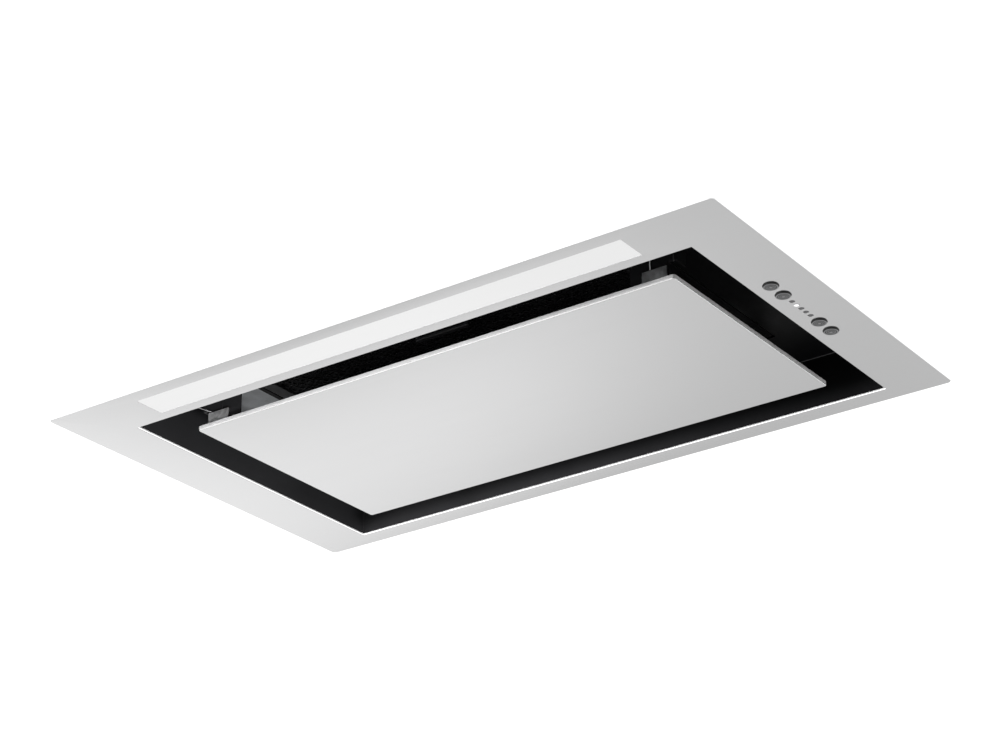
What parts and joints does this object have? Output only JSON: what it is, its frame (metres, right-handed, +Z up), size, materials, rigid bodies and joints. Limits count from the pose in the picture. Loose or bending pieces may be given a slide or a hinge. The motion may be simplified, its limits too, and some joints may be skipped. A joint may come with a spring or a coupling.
{
  "type": "ceiling range hood",
  "caption": "Flush ceiling cooker hood with a stainless flange, a drop-down perimeter suction panel, a light bar, push buttons, and a blower body above the ceiling.",
  "frame": {"origin": "centre of the flange outline in the plane of the flange's upper face, which lies against the ceiling", "axes": "+X along the long side towards the push buttons, +Y away from the light bar, +Z up into the ceiling"},
  "size_m": [0.54, 0.322, 0.3223],
  "materials": {
    "stainless": "fine satin brushed stainless steel",
    "black_enamel": "semi-gloss black powder coat",
    "zinc_sheet": "galvanised sheet with a soft spangle",
    "aluminium": "mill finish",
    "filter_mesh": "dark expanded metal mesh",
    "spring_steel": "bright drawn steel",
    "opal_diffuser": "opal light diffuser, lit",
    "button_metal": "turned metal with fine concentric rings",
    "clear_guide": "clear light pipe",
    "black_plastic": "moulded, fine texture",
    "grey_plastic": "moulded, fine texture",
    "circuit_board": "green solder mask",
    "foam_seal": "closed-cell foam strip"
  },
  "bodies": {
    "root": {"flange_frame": "stainless", "inner_collar": "black_enamel", "baffle_plate": "black_enamel", "catch_keeper_left": "black_enamel", "catch_keeper_right": "black_enamel", "hinge_bracket_left": "black_enamel", "hinge_bracket_right": "black_enamel", "baffle_end_cover": "zinc_sheet", "body_front_panel": "zinc_sheet", "body_rear_panel": "zinc_sheet", "body_left_panel": "zinc_sheet", "body_right_panel": "zinc_sheet", "top_plate": "zinc_sheet", "motor_bracket": "zinc_sheet", "hanger_front_left": "zinc_sheet", "hanger_front_right": "zinc_sheet", "hanger_rear_left": "zinc_sheet", "hanger_rear_right": "zinc_sheet", "light_housing": "aluminium", "motor": "aluminium", "catch_spring_left": "spring_steel", "catch_spring_right": "spring_steel", "hinge_pin_left": "spring_steel", "hinge_pin_right": "spring_steel", "flap_pin": "spring_steel", "light_diffuser": "opal_diffuser", "indicator_light_guide": "clear_guide", "button_carrier": "black_plastic", "scroll_wrap": "black_plastic", "scroll_cheek_left": "black_plastic", "scroll_cheek_right": "black_plastic", "outlet_collar": "black_plastic", "cable_gland": "black_plastic", "terminal_box": "grey_plastic", "terminal_box_lid": "grey_plastic", "terminal_block": "grey_plastic", "capacitor": "grey_plastic", "light_board": "circuit_board", "control_board": "circuit_board", "main_board": "circuit_board", "ceiling_seal": "foam_seal"},
    "access_panel": {"panel_skin": "stainless", "panel_backing": "zinc_sheet", "panel_catch_plate_left": "zinc_sheet", "panel_catch_plate_right": "zinc_sheet", "hinge_arm_left": "zinc_sheet", "hinge_arm_right": "zinc_sheet"},
    "grease_filter": {"filter_frame": "aluminium", "filter_mesh": "filter_mesh", "filter_pull": "black_plastic"},
    "filter_latch": {"filter_latch": "black_plastic"},
    "fan_rotor": {"impeller": "black_plastic", "motor_shaft": "spring_steel"},
    "flap_left": {"flap_left": "grey_plastic"},
    "flap_right": {"flap_right": "grey_plastic"},
    "button_1": {"button_1": "button_metal"},
    "button_2": {"button_2": "button_metal"},
    "button_3": {"button_3": "button_metal"},
    "button_4": {"button_4": "button_metal"}
  },
  "joints": [
    {"name": "access_panel_hinge", "type": "hinge", "parent": "root", "child": "access_panel", "pos_m": [0, 0.107, 0.013], "axis": [1, 0, 0], "range_deg": [0, 90]},
    {"name": "filter_tilt", "type": "hinge", "parent": "root", "child": "grease_filter", "pos_m": [0, 0.096, 0.0447], "axis": [1, 0, 0], "range_deg": [0, 6]},
    {"name": "filter_latch_slide", "type": "slide", "parent": "grease_filter", "child": "filter_latch", "axis": [0, 1, 0], "range_m": [0, 0.003], "stiffness_N_per_m": 300, "springref_m": -0.004},
    {"name": "impeller_spin", "type": "hinge", "parent": "root", "child": "fan_rotor", "pos_m": [0, -0.01, 0.169], "axis": [1, 0, 0], "continuous": true},
    {"name": "flap_left_swing", "type": "hinge", "parent": "root", "child": "flap_left", "pos_m": [0, 0.07, 0.292], "axis": [0, 1, 0], "range_deg": [0, 78]},
    {"name": "flap_right_swing", "type": "hinge", "parent": "root", "child": "flap_right", "pos_m": [0, 0.07, 0.292], "axis": [0, -1, 0], "range_deg": [0, 78]},
    {"name": "button_1_press", "type": "slide", "parent": "root", "child": "button_1", "axis": [0, 0, 1], "range_m": [0, 0.001], "stiffness_N_per_m": 450, "springref_m": -0.002},
    {"name": "button_2_press", "type": "slide", "parent": "root", "child": "button_2", "axis": [0, 0, 1], "range_m": [0, 0.001], "stiffness_N_per_m": 450, "springref_m": -0.002},
    {"name": "button_3_press", "type": "slide", "parent": "root", "child": "button_3", "axis": [0, 0, 1], "range_m": [0, 0.001], "stiffness_N_per_m": 450, "springref_m": -0.002},
    {"name": "button_4_press", "type": "slide", "parent": "root", "child": "button_4", "axis": [0, 0, 1], "range_m": [0, 0.001], "stiffness_N_per_m": 450, "springref_m": -0.002}
  ]
}
